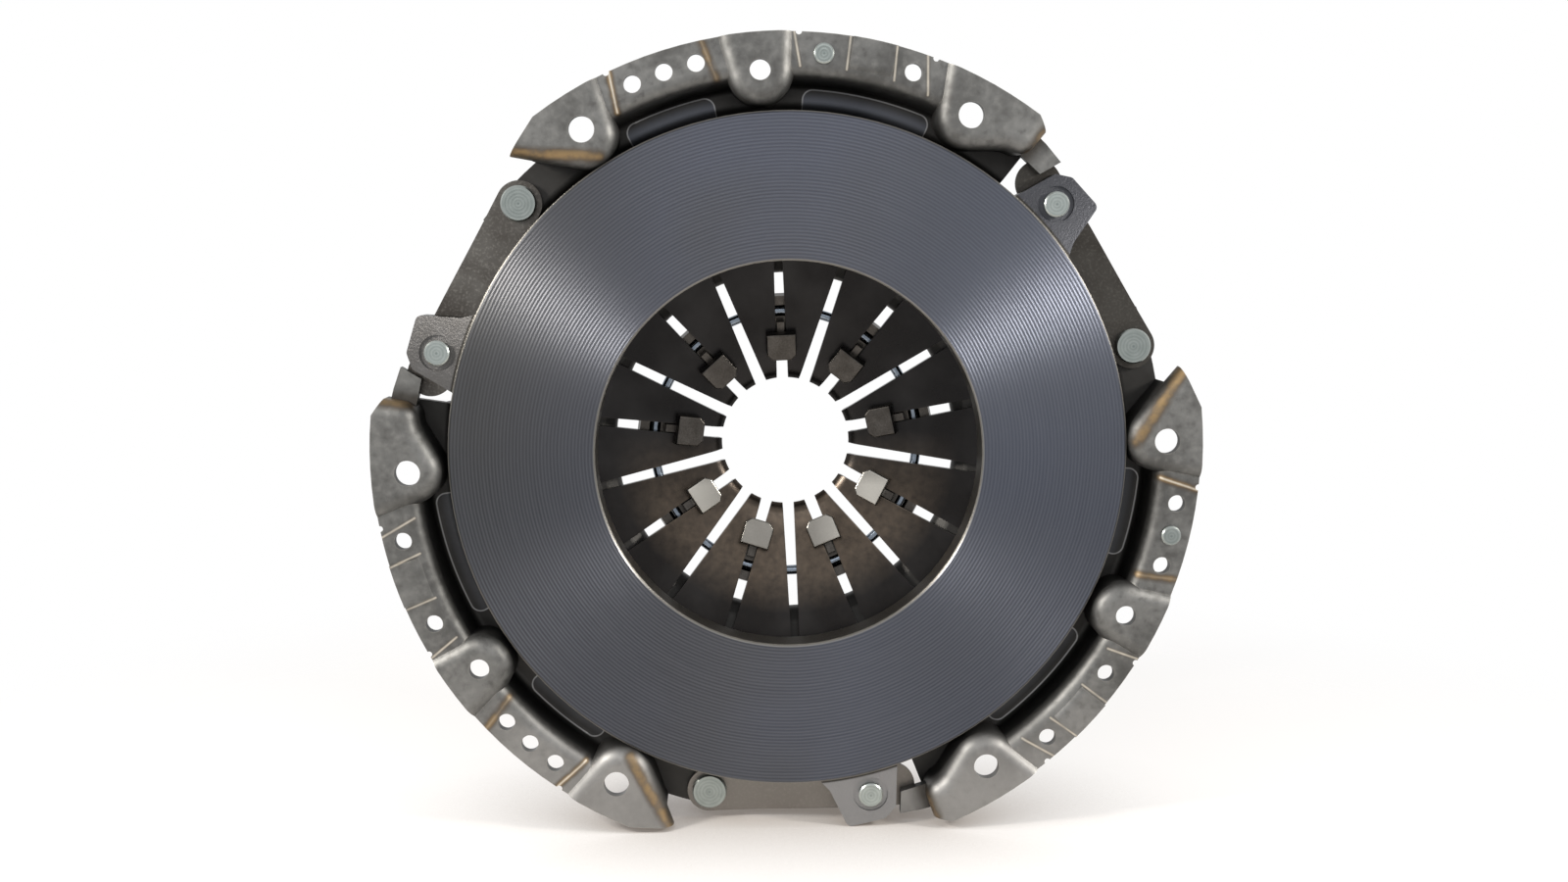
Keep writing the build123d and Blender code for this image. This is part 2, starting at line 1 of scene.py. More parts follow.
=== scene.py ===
"""Looks for a diaphragm clutch cover with centrifugal weights.

The clutch axis is Y, with the flywheel side at -Y and +Z up. Sizes in this file are in millimetres and are
turned to metres where a mesh or a node needs them. Angles round the axis count from +X towards +Z.
"""

from __future__ import annotations

import logging
import math
from dataclasses import dataclass
from enum import Enum
from typing import Any

import bmesh
import bpy
from mathutils import Matrix, Vector

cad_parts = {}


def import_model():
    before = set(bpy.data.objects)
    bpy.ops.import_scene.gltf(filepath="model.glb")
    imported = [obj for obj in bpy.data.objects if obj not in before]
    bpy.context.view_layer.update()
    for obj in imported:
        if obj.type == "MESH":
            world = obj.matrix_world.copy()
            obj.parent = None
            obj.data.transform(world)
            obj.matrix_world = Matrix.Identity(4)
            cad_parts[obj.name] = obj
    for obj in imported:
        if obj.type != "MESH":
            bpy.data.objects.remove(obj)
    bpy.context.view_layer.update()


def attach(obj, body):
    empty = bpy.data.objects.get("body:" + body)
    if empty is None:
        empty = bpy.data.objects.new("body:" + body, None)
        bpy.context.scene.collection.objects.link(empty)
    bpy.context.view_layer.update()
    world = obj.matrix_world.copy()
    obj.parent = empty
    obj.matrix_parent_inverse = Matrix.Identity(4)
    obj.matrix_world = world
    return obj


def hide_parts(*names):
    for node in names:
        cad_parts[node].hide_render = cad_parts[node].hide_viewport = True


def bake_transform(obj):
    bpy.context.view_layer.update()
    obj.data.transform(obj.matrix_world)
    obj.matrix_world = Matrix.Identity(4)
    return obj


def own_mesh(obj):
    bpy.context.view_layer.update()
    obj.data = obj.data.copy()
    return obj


log = logging.getLogger("clutch")

Pair = tuple[float, float]

MM = 0.001
FULL_TURN = 360.0
THIRD = FULL_TURN / 3
SMOOTH_ANGLE = 32.0                 # edges sharper than this stay sharp, in degrees
BROKEN_ANGLE = math.radians(40)     # edges sharper than this are broken


# ---------- colours and nodes

def linear(colour: str) -> tuple[float, float, float, float]:
    """Turn an sRGB hex colour to linear RGBA.

    Args:
        colour: Six hex digits after a hash.

    Returns:
        Linear red, green and blue, with alpha 1.
    """
    parts = [int(colour[i:i + 2], 16) / 255 for i in (1, 3, 5)]
    red, green, blue = [p / 12.92 if p <= 0.04045 else ((p + 0.055) / 1.055) ** 2.4 for p in parts]
    return red, green, blue, 1.0


def add(tree: bpy.types.NodeTree, kind: str, inputs: dict[Any, Any] | None = None,
        **settings: Any) -> bpy.types.Node:
    """Add a node with its settings, values and links.

    Args:
        tree: Node tree that gets the node.
        kind: Name of the node type.
        inputs: For each input, a value, a hex colour, a socket, or a node whose first live output feeds it.
        settings: Properties of the node itself.

    Returns:
        The new node.
    """
    node = tree.nodes.new(kind)
    for name, value in settings.items():
        setattr(node, name, value)
    for key, value in (inputs or {}).items():
        if isinstance(value, bpy.types.Node):
            value = next(out for out in value.outputs if out.enabled)
        if isinstance(value, bpy.types.NodeSocket):
            tree.links.new(value, node.inputs[key])
        else:
            node.inputs[key].default_value = linear(value) if isinstance(value, str) else value
    return node


class Recipe:
    """A material under construction, with the clutch's own polar coordinates at hand."""

    def __init__(self, name: str) -> None:
        """Start an empty material.

        Args:
            name: Name of the material.
        """
        self.material = bpy.data.materials.new(name)
        self.material.use_nodes = True
        self.tree = self.material.node_tree
        self.tree.nodes.clear()
        self.place = self.add("ShaderNodeTexCoord").outputs["Object"]
        self.across, self.depth, self.up = self.add("ShaderNodeSeparateXYZ", {0: self.place}).outputs
        self.flat = self.add("ShaderNodeCombineXYZ", {0: self.across, 2: self.up})
        self.radius = self.add("ShaderNodeVectorMath", {0: self.flat}, operation="LENGTH")
        self.angle = self.add("ShaderNodeMath", {0: self.up, 1: self.across}, operation="ARCTAN2")

    def add(self, kind: str, inputs: dict[Any, Any] | None = None, **settings: Any) -> bpy.types.Node:
        """Add a node to this material."""
        return add(self.tree, kind, inputs, **settings)

    def third_angle(self, centre: float) -> bpy.types.Node:
        """Angle in radians from the nearest of three like places, the first at a centre in degrees."""
        half = math.radians(THIRD / 2)
        moved = self.add("ShaderNodeMath", {0: self.angle, 1: math.radians(centre)}, operation="SUBTRACT")
        return self.add("ShaderNodeMath", {0: moved, 1: half, 2: -half}, operation="WRAP")

    def from_spot(self, radius: float, angle: float) -> bpy.types.Node:
        """Distance in metres from the nearest of three like spots round the axis.

        Args:
            radius: Radius of the spots, in millimetres.
            angle: Angle of the first of them, in degrees.

        Returns:
            The node that gives the distance, by the law of cosines.
        """
        reach = radius * MM
        turned = self.add("ShaderNodeMath", {0: self.third_angle(angle)}, operation="COSINE")
        shared = self.add("ShaderNodeMath", {0: self.radius, 1: turned}, operation="MULTIPLY")
        square = self.add("ShaderNodeMath", {0: self.radius, 1: 2.0}, operation="POWER")
        square = self.add("ShaderNodeMath", {0: shared, 1: -2 * reach, 2: square}, operation="MULTIPLY_ADD")
        square = self.add("ShaderNodeMath", {0: square, 1: reach * reach}, operation="ADD")
        return self.add("ShaderNodeMath", {0: square}, operation="SQRT")

    def outward(self) -> bpy.types.Node:
        """Direction away from the clutch axis, which lathe grooves spread light along."""
        return self.add("ShaderNodeVectorMath", {0: self.flat}, operation="NORMALIZE")

    def lay(self, under: Any, over: Any, value: Any, start: float, end: float,
            most: float = 1.0, factors: tuple[Any, ...] = ()) -> bpy.types.Node:
        """Lay one tone over another where a value runs from a start to an end.

        Args:
            under: The tone below, as a node or a hex colour.
            over: The tone laid on it.
            value: The node or socket that decides where.
            start: Value where the upper tone begins.
            end: Value where it is strongest.
            most: Its share there.
            factors: Nodes or sockets that lower its share.

        Returns:
            The mixed tone.
        """
        share = self.add("ShaderNodeMapRange", {
            "Value": value, "From Min": start, "From Max": end, "To Max": most})
        for factor in factors:
            share = self.add("ShaderNodeMath", {0: share, 1: factor}, operation="MULTIPLY")
        return self.add("ShaderNodeMix", {0: share, 6: under, 7: over}, data_type="RGBA")

    def close(self, **inputs: Any) -> bpy.types.Material:
        """Close the material with one shader.

        Args:
            inputs: Inputs of the shader, with underscores for spaces in their names.

        Returns:
            The finished material.
        """
        values = {name.replace("_", " "): value for name, value in inputs.items()}
        shader = self.add("ShaderNodeBsdfPrincipled", values)
        self.add("ShaderNodeOutputMaterial", {"Surface": shader})
        return self.material

    def metal(self, tone: Any, gloss: Any, relief: Any, height: float,
              strength: float = 0.5) -> bpy.types.Material:
        """Close the material as bare metal with a fine relief.

        Args:
            tone: Its colour.
            gloss: Its roughness.
            relief: The node that gives the relief.
            height: Height of the relief, in millimetres.
            strength: Share of it that shows.

        Returns:
            The finished material.
        """
        bump = self.add("ShaderNodeBump", {"Height": relief, "Distance": height * MM, "Strength": strength})
        return self.close(Base_Color=tone, Metallic=1.0, Roughness=gloss, Normal=bump)


# ---------- finishes

@dataclass(frozen=True)
class TurnedIron:
    """Grey cast iron, faced on a lathe: fine round grooves that draw light out into radial fans."""

    face: str = "#494c56"
    warm: str = "#403f3c"
    # Painted shade towards the bottom of the face.
    painted_bottom_lighting: str = "#2c2f37"
    cool: str = "#50545f"
    cast: str = "#3b3936"
    lug: str = "#706f6f"
    # Painted shade on the lugs towards the right.
    right_lug_shade: str = "#484a50"
    # Painted light on the lugs towards the bottom.
    bottom_lug_light: str = "#929191"
    blotch: str = "#5d5b59"
    crest: str = "#a3a5ac"
    groove_pitch: float = 1.35      # the real feed is near 0.3 mm; drawn coarser so that it shows
    groove_depth: float = 0.055
    face_depth: float = 4.0
    lug_depth: float = 5.2
    lug_start: float = 134.0
    bore_edge: float = 77.1
    # Painted highlight: a thin light line along the bore edge and the face's outer edge.
    edge: str = "#b8b4ac"

    def build(self) -> bpy.types.Material:
        """Make the material.

        Returns:
            The finished material.
        """
        r = Recipe("turned_cast_iron")
        # The feed wanders a little, so the grooves beat against each other as on a worn lathe.
        wander = r.add("ShaderNodeTexNoise", {"Vector": r.place, "Scale": 1 / (45 * MM), "Detail": 2.0})
        wander = r.add("ShaderNodeMath", {0: wander, 1: 6.0}, operation="MULTIPLY")
        pitch = 2 * math.pi / (self.groove_pitch * MM)
        groove = r.add("ShaderNodeMath", {0: r.radius, 1: pitch, 2: wander}, operation="MULTIPLY_ADD")
        groove = r.add("ShaderNodeMath", {0: groove}, operation="SINE")
        # Long streaks, finer across the grooves than along them.
        across = r.add("ShaderNodeMath", {0: r.radius, 1: 1 / (0.7 * MM)}, operation="MULTIPLY")
        around = r.add("ShaderNodeMath", {0: r.angle, 1: 2.2}, operation="MULTIPLY")
        along = r.add("ShaderNodeCombineXYZ", {0: across, 1: around})
        streak = r.add("ShaderNodeTexNoise", {"Vector": along, "Scale": 1.0, "Detail": 2.0})
        # Where the painted highlights along the bore edge and the face's outer edge, the machined face and
        # the faced lugs lie.
        rim, outer, inner, shallow, machined, beyond, faced = (
            r.add("ShaderNodeMapRange", {
                "Value": value, "From Min": start * MM, "From Max": end * MM, "To Max": most})
            for value, start, end, most in (
                (r.radius, self.bore_edge, self.bore_edge - 0.4, 0.35),
                (r.radius, self.lug_start - 1.4, self.lug_start - 0.9, 0.3),
                (r.radius, self.lug_start - 0.3, self.lug_start - 0.5, 1.0),
                (r.depth, self.face_depth + 2.2, self.face_depth + 1.8, 1.0),
                (r.depth, self.face_depth + 0.6, self.face_depth + 0.5, 1.0),
                (r.radius, self.lug_start, self.lug_start + 0.6, 1.0),
                (r.depth, self.lug_depth + 1.4, self.lug_depth + 1.2, 1.0)))
        outer = r.add("ShaderNodeMath", {0: outer, 1: inner}, operation="MULTIPLY")
        rim = r.add("ShaderNodeMath", {0: rim, 1: outer}, operation="MAXIMUM")
        rim = r.add("ShaderNodeMath", {0: rim, 1: shallow}, operation="MULTIPLY")
        # By place the face turns darker and warmer towards the left and in clouds, and cooler towards the
        # right.
        cloud = r.add("ShaderNodeTexNoise", {"Vector": r.place, "Scale": 1 / (90 * MM), "Detail": 2.0})
        side = r.add("ShaderNodeMapRange", {
            "Value": r.across, "From Min": -0.03, "From Max": -0.12, "To Max": 0.8})
        warm = r.add("ShaderNodeMapRange", {
            "Value": cloud, "From Min": 0.4, "From Max": 0.65, "To Max": 0.55})
        warm = r.add("ShaderNodeMath", {0: side, 1: warm}, operation="MAXIMUM")
        tone = r.add("ShaderNodeMix", {0: warm, 6: self.face, 7: self.warm}, data_type="RGBA")
        tone = r.lay(tone, self.cool, r.across, 0.0, 0.08, 0.7)
        # Painted shade: the face turns darker towards the bottom, most at the lower corners.
        corner = r.add("ShaderNodeMath", {0: r.across}, operation="ABSOLUTE")
        corner = r.add("ShaderNodeMapRange", {
            "Value": corner, "From Min": 0.02, "From Max": 0.08, "To Min": 0.4})
        tone = r.lay(tone, self.painted_bottom_lighting, r.up, 0.01, -0.06, 0.7, (corner,))
        light = r.add("ShaderNodeMath", {0: groove, 1: 0.04, 2: 0.04}, operation="MULTIPLY_ADD")
        light = r.add("ShaderNodeMath", {0: streak, 1: 0.06, 2: light}, operation="MULTIPLY_ADD")
        tone = r.add("ShaderNodeMix", {0: light, 6: tone, 7: self.crest}, data_type="RGBA")
        # Faced lugs: the cutter ran over their skin too, but not as fine.
        grain = r.add("ShaderNodeTexNoise", {"Vector": r.place, "Scale": 1 / (0.8 * MM), "Detail": 4.0})
        faced = r.add("ShaderNodeMath", {0: beyond, 1: faced}, operation="MULTIPLY")
        blotch = r.add("ShaderNodeTexNoise", {"Vector": r.place, "Scale": 1 / (7 * MM), "Detail": 4.0})
        skin = r.add("ShaderNodeMix", {0: blotch, 6: self.lug, 7: self.blotch}, data_type="RGBA")
        # Painted shade on the lugs towards the right, painted light on those towards the bottom.
        skin = r.lay(skin, self.right_lug_shade, r.across, 0.0, 0.08, 0.85)
        skin = r.lay(skin, self.bottom_lug_light, r.up, -0.1, -0.13, 0.7)
        cast = r.add("ShaderNodeMix", {0: faced, 6: self.cast, 7: skin}, data_type="RGBA")
        colour = r.add("ShaderNodeMix", {0: machined, 6: cast, 7: tone}, data_type="RGBA")
        # Painted highlight along the bore edge and the face's outer edge.
        colour = r.add("ShaderNodeMix", {0: rim, 6: colour, 7: self.edge}, data_type="RGBA")
        height = r.add("ShaderNodeMath", {0: streak, 1: 0.5, 2: groove}, operation="MULTIPLY_ADD")
        fine = r.add("ShaderNodeBump", {"Height": height, "Distance": self.groove_depth * MM})
        rough = r.add("ShaderNodeBump", {"Height": grain, "Distance": 0.12 * MM})
        normal = r.add("ShaderNodeMix", {0: machined, 4: rough, 5: fine}, data_type="VECTOR")
        gloss = r.add("ShaderNodeMapRange", {"Value": machined, "To Min": 0.5, "To Max": 0.38})
        return r.close(Base_Color=colour, Metallic=1.0, Roughness=gloss, Anisotropic=0.9, Tangent=r.outward(),
                       Normal=normal)


@dataclass(frozen=True)
class Fold:
    """A stretched fold in the sheet, between two polar points in millimetres and degrees."""

    start: Pair
    end: Pair
    width: float                    # how far its tint spreads
    crest: float                    # how light its crest is, as wear and painted highlight, from 0 to 1
    tint: float                     # how strong its tint is, from 0 to 1


@dataclass(frozen=True)
class PressedSteel:
    """Hot-rolled steel sheet, pressed: dull grey, with painted shade in the hollow, straw-tinted at the
    folds.
    """

    skin: str = "#6b6b6a"
    dark: str = "#50504f"
    pale: str = "#868583"
    # Painted shade in the hollow.
    recess_shade: str = "#302f2e"
    straw: str = "#957c56"
    rust: str = "#4d4338"
    # Wear and painted highlight on sharp edges and fold crests.
    wear_and_highlight: str = "#c9c2b5"
    pit: str = "#464544"
    # Painted light towards the bottom of the cover.
    painted_bottom_lighting: str = "#929190"
    # Painted reflection on the shelf.
    sheen: str = "#646872"
    # Painted highlight along the frame on the shelf.
    shelf_edge_highlight: str = "#b9b9bb"
    patterns: tuple[Pair, ...] = ((26.0, 4.0), (3.5, 6.0), (0.7, 3.0))   # sizes and details
    middle: float = 94.0            # angle of the middle of the first of three like sections
    crest_width: float = 0.7
    folds: tuple[Fold, ...] = (
        Fold((162.4, 115.0), (147.3, 116.4), 2.8, 0.8, 0.8),
        Fold((162.4, 102.0), (147.2, 100.9), 3.2, 0.12, 0.75),
        Fold((162.0, 89.4), (149.6, 88.5), 1.6, 0.75, 0.35),
        Fold((162.0, 81.8), (149.8, 81.7), 1.3, 0.65, 0.3),
        Fold((162.0, 75.4), (149.6, 74.6), 1.3, 0.65, 0.25),
        Fold((162.3, 71.1), (148.5, 69.2), 1.8, 0.7, 0.3),
        Fold((158.4, 132.6), (136.6, 122.2), 4.2, 0.0, 0.85),
        Fold((158.4, 51.8), (145.5, 51.6), 4.8, 0.0, 0.8))
    shelf_panels: tuple[Pair, ...] = ((77.3, 10.4), (109.4, 7.4))    # middles and half spans
    panel_radius: float = 133.0
    panel_half: float = 9.6
    panel_corner: float = 4.0
    panel_arc: float = 140.0        # radius at which the panels' angles are measured as lengths
    panel_line: float = 0.45
    recess_shade_depths: Pair = (0.8, 16.5)
    tint_depths: Pair = (13.0, 9.0)
    painted_reflection_radii: Pair = (142.5, 138.0)
    shelf_depths: Pair = (16.5, 18.5)
    floor_shade_depths: Pair = (21.0, 25.0)
    worn_depths: Pair = (7.5, 4.0)
    strap_bay: float = 154.0        # angle of the middle of the first gap between sections
    bay_edges: Pair = (0.26, 0.3)

    def spot(self, radius: float, angle: float) -> tuple[float, float, float]:
        """Polar point as a flat place in the frame of the section's middle, in metres."""
        turn = math.radians(angle - self.middle)
        return radius * MM * math.cos(turn), radius * MM * math.sin(turn), 0.0

    def fold_marks(self, r: Recipe) -> tuple[bpy.types.Node, bpy.types.Node]:
        """Lighter crests, part wear and part painted highlight, and heat tint of the folds across the rim.

        Args:
            r: The material that gets the nodes.

        Returns:
            How much a point is lightened, as wear and painted highlight, and how much it is tinted.
        """
        turn = r.third_angle(self.middle)
        cosine = r.add("ShaderNodeMath", {0: turn}, operation="COSINE")
        sine = r.add("ShaderNodeMath", {0: turn}, operation="SINE")
        unit = r.add("ShaderNodeCombineXYZ", {0: cosine, 1: sine})
        local = r.add("ShaderNodeVectorMath", {0: unit, "Scale": r.radius}, operation="SCALE")
        marks = [None, None]
        for fold in self.folds:
            start, end = Vector(self.spot(*fold.start)), Vector(self.spot(*fold.end))
            way = (end - start).normalized()
            off = r.add("ShaderNodeVectorMath", {0: local, 1: start}, operation="SUBTRACT")
            run = r.add("ShaderNodeVectorMath", {0: off, 1: way}, operation="DOT_PRODUCT")
            run = r.add("ShaderNodeClamp", {"Value": run, "Max": (end - start).length})
            foot = r.add("ShaderNodeVectorMath", {0: way, "Scale": run}, operation="SCALE")
            away = r.add("ShaderNodeVectorMath", {0: off, 1: foot}, operation="DISTANCE")
            for i, (width, most) in enumerate(((self.crest_width, fold.crest), (fold.width, fold.tint))):
                mark = r.add("ShaderNodeMapRange", {
                    "Value": away, "From Max": width * MM, "To Min": most, "To Max": 0.0},
                    interpolation_type="SMOOTHSTEP")
                if marks[i]:
                    mark = r.add("ShaderNodeMath", {0: marks[i], 1: mark}, operation="MAXIMUM")
                marks[i] = mark
        crest, tint = marks
        patch = r.add("ShaderNodeTexNoise", {"Vector": r.place, "Scale": 1 / (5 * MM), "Detail": 4.0})
        patch = r.add("ShaderNodeMapRange", {"Value": patch, "From Min": 0.3, "From Max": 0.6, "To Min": 0.6})
        tint = r.add("ShaderNodeMath", {0: tint, 1: patch}, operation="MULTIPLY")
        start, end = self.tint_depths
        front = r.add("ShaderNodeMapRange", {"Value": r.depth, "From Min": start * MM, "From Max": end * MM})
        tint = r.add("ShaderNodeMath", {0: tint, 1: front}, operation="MULTIPLY")
        crest = r.add("ShaderNodeMath", {0: crest, 1: patch}, operation="MULTIPLY")
        return crest, tint

    def panel_edge(self, r: Recipe, shelf: bpy.types.Node) -> tuple[bpy.types.Node, bpy.types.Node]:
        """Painted highlight of a bend on the shelf, drawn as a line: a rounded frame in each bay between the
        pads.

        Args:
            r: The material that gets the nodes.
            shelf: How much a point lies on the shelf.

        Returns:
            How much a point lies on the line, and how much it lies inside the frame.
        """
        nearest = None
        arc, bend = self.panel_arc * MM, self.panel_corner * MM
        for centre, half in self.shelf_panels:
            around = r.add("ShaderNodeMath", {0: r.third_angle(centre)}, operation="ABSOLUTE")
            around = r.add("ShaderNodeMath", {0: around, 1: arc}, operation="MULTIPLY")
            around = r.add("ShaderNodeMath", {
                0: around, 1: math.radians(half) * arc - bend}, operation="SUBTRACT")
            out = r.add("ShaderNodeMath", {0: r.radius, 1: self.panel_radius * MM}, operation="SUBTRACT")
            out = r.add("ShaderNodeMath", {0: out}, operation="ABSOLUTE")
            out = r.add("ShaderNodeMath", {0: out, 1: self.panel_half * MM - bend}, operation="SUBTRACT")
            corner = r.add("ShaderNodeCombineXYZ", {0: around, 1: out})
            corner = r.add("ShaderNodeVectorMath", {0: corner, 1: (0, 0, 0)}, operation="MAXIMUM")
            reach = r.add("ShaderNodeVectorMath", {0: corner}, operation="LENGTH")
            if nearest:
                reach = r.add("ShaderNodeMath", {0: nearest, 1: reach}, operation="MINIMUM")
            nearest = reach
        away = r.add("ShaderNodeMath", {0: nearest, 1: bend}, operation="SUBTRACT")
        inside = r.add("ShaderNodeMapRange", {"Value": away, "From Min": 0.0002, "From Max": -0.0002})
        away = r.add("ShaderNodeMath", {0: away}, operation="ABSOLUTE")
        line = r.add("ShaderNodeMapRange", {
            "Value": away, "From Max": self.panel_line * MM, "To Min": 1.0, "To Max": 0.0},
            interpolation_type="SMOOTHSTEP")
        line = r.add("ShaderNodeMath", {0: line, 1: shelf}, operation="MULTIPLY")
        return line, inside

    def build(self) -> bpy.types.Material:
        """Make the material.

        Returns:
            The finished material.
        """
        r = Recipe("pressed_steel")
        cloud, mottle, grain = (
            r.add("ShaderNodeTexNoise", {"Vector": r.place, "Scale": 1 / (size * MM), "Detail": detail})
            for size, detail in self.patterns)
        tone = r.lay(self.skin, self.dark, cloud, 0.35, 0.65)
        tone = r.lay(tone, self.pale, mottle, 0.5, 0.75, 0.35)
        tone = r.lay(tone, self.pit, mottle, 0.46, 0.3, 0.55)
        # Painted light: the sheet turns lighter towards the bottom.
        tone = r.lay(tone, self.painted_bottom_lighting, r.up, -0.09, -0.13, 0.5)
        # Folds across the rim ran hot in the press: straw first, brown where it pooled.
        crest, tint = self.fold_marks(r)
        tone = r.lay(tone, self.rust, tint, 0.05, 0.5, 0.75)
        tone = r.lay(tone, self.straw, tint, 0.4, 1.0, 0.8)
        # Painted shade: the hollow is darkened with depth away from the gaps between the sections, and fully
        # on its deepest floor.
        start, end = self.recess_shade_depths
        depth_shade = r.add("ShaderNodeMapRange", {
            "Value": r.depth, "From Min": start * MM, "From Max": end * MM}, interpolation_type="SMOOTHSTEP")
        floor, shelf, front = (
            r.add("ShaderNodeMapRange", {"Value": r.depth, "From Min": start * MM, "From Max": end * MM})
            for start, end in (self.floor_shade_depths, self.shelf_depths, self.worn_depths))
        line, inside = self.panel_edge(r, shelf)
        bay = r.add("ShaderNodeMath", {0: r.third_angle(self.strap_bay)}, operation="ABSOLUTE")
        first, last = self.bay_edges
        bay = r.add("ShaderNodeMapRange", {"Value": bay, "From Min": first, "From Max": last})
        share = r.add("ShaderNodeMath", {0: depth_shade, 1: bay}, operation="MULTIPLY")
        share = r.add("ShaderNodeMath", {0: share, 1: floor}, operation="MAXIMUM")
        # The painted shade falls only on the hollow side: the back and the outside keep their plain skin.
        facing = r.add("ShaderNodeTexCoord").outputs["Normal"]
        back = r.add("ShaderNodeSeparateXYZ", {0: facing}).outputs["Y"]
        outside = r.add("ShaderNodeVectorMath", {0: facing, 1: r.outward()}, operation="DOT_PRODUCT")
        back = r.add("ShaderNodeMapRange", {"Value": back, "From Min": 0.4, "From Max": 0.1})
        outside = r.add("ShaderNodeMapRange", {"Value": outside, "From Min": 0.6, "From Max": 0.3})
        hollow = r.add("ShaderNodeMath", {0: back, 1: outside}, operation="MULTIPLY")
        for factor in (hollow, 0.93):
            share = r.add("ShaderNodeMath", {0: share, 1: factor}, operation="MULTIPLY")
        tone = r.add("ShaderNodeMix", {0: share, 6: tone, 7: self.recess_shade}, data_type="RGBA")
        # Inside the frame a soft blue painted reflection runs along the middle, stronger towards the top.
        start, end = self.painted_reflection_radii
        sheen = r.add("ShaderNodeMapRange", {
            "Value": r.radius, "From Min": start * MM, "From Max": end * MM, "To Max": 0.45},
            interpolation_type="SMOOTHSTEP")
        upper = r.add("ShaderNodeMapRange", {
            "Value": r.up, "From Min": -0.02, "From Max": 0.08, "To Min": 0.4})
        shelf = r.add("ShaderNodeMath", {0: shelf, 1: hollow}, operation="MULTIPLY")
        # Painted reflection inside the frame, then the painted highlight along the frame's line.
        for share, factors, over in ((inside, (sheen, upper, bay, shelf), self.sheen),
                                     (line, (bay, shelf, 0.5), self.shelf_edge_highlight)):
            for factor in factors:
                share = r.add("ShaderNodeMath", {0: share, 1: factor}, operation="MULTIPLY")
            tone = r.add("ShaderNodeMix", {0: share, 6: tone, 7: over}, data_type="RGBA")
        # Sharp edges and fold crests are lightened: part wear, part painted highlight.
        soft = r.add("ShaderNodeBevel", {"Radius": 0.7 * MM}, samples=4)
        normal = r.add("ShaderNodeNewGeometry").outputs["Normal"]
        worn = r.add("ShaderNodeVectorMath", {0: soft, 1: normal}, operation="DOT_PRODUCT")
        worn = r.add("ShaderNodeMapRange", {"Value": worn, "From Min": 0.985, "From Max": 0.9, "To Max": 0.1})
        worn = r.add("ShaderNodeMath", {0: worn, 1: front}, operation="MULTIPLY")
        worn = r.add("ShaderNodeMath", {0: worn, 1: crest}, operation="MAXIMUM")
        tone = r.add("ShaderNodeMix", {0: worn, 6: tone, 7: self.wear_and_highlight}, data_type="RGBA")
        gloss = r.add("ShaderNodeMapRange", {"Value": cloud, "To Min": 0.46, "To Max": 0.6})
        gloss = r.add("ShaderNodeMath", {0: worn, 1: -0.15, 2: gloss}, operation="MULTIPLY_ADD")
        height = r.add("ShaderNodeMath", {0: grain, 1: 0.25, 2: mottle}, operation="MULTIPLY_ADD")
        return r.metal(tone, gloss, height, 0.09, 0.6)


@dataclass(frozen=True)
class SpringSteel:
    """Chrome-vanadium spring steel, oil-hardened and peened: near black, with burnt-oil brown as painted
    light low down.
    """

    skin: str = "#212020"
    pale: str = "#2a2929"
    # Burnt-oil brown, lighter than the skin as painted light on the lower half.
    brown: str = "#61564b"
    patterns: tuple[Pair, ...] = ((24.0, 4.0), (3.0, 6.0), (0.9, 3.0))   # sizes and details

    def build(self) -> bpy.types.Material:
        """Make the material.

        Returns:
            The finished material.
        """
        r = Recipe("hardened_spring_steel")
        cloud, fleck, grain = (
            r.add("ShaderNodeTexNoise", {"Vector": r.place, "Scale": 1 / (size * MM), "Detail": detail})
            for size, detail in self.patterns)
        tone = r.lay(self.skin, self.pale, cloud, 0.4, 0.65)
        # Brown burnt-oil mottling on the inner fingers, kept to the lower half and lighter there: part stain,
        # part painted light.
        inner = r.add("ShaderNodeMapRange", {
            "Value": r.radius, "From Min": 0.072, "From Max": 0.056, "To Min": 0.05})
        blotch = r.add("ShaderNodeMapRange", {
            "Value": fleck, "From Min": 0.25, "From Max": 0.7, "To Min": 0.45})
        tone = r.lay(tone, self.brown, r.up, 0.005, -0.03, 0.66, (inner, blotch))
        gloss = r.add("ShaderNodeMapRange", {"Value": cloud, "To Min": 0.22, "To Max": 0.36})
        return r.metal(tone, gloss, grain, 0.012)


@dataclass(frozen=True)
class StrapSteel:
    """Cold-rolled spring strip: smooth and grey-brown, with faint cloudy marks."""

    skin: str = "#53514e"
    dark: str = "#423f3c"
    # Painted light towards the bottom.
    painted_bottom_lighting: str = "#77736f"
    fleck: str = "#8b8883"
    # Painted shade towards the right.
    far: str = "#2c2a27"

    def build(self) -> bpy.types.Material:
        """Make the material.

        Returns:
            The finished material.
        """
        r = Recipe("rolled_strap_steel")
        cloud = r.add("ShaderNodeTexNoise", {"Vector": r.place, "Scale": 1 / (12 * MM), "Detail": 4.0})
        grain = r.add("ShaderNodeTexNoise", {"Vector": r.place, "Scale": 1 / (1.1 * MM), "Detail": 3.0})
        tone = r.lay(self.skin, self.dark, cloud, 0.35, 0.65)
        tone = r.lay(tone, self.fleck, grain, 0.5, 0.8, 0.35)
        # Painted light towards the bottom, painted shade towards the right.
        tone = r.lay(tone, self.painted_bottom_lighting, r.up, -0.09, -0.12, 0.65)
        tone = r.lay(tone, self.far, r.across, 0.04, 0.08, 0.6)
        return r.metal(tone, 0.42, grain, 0.02)


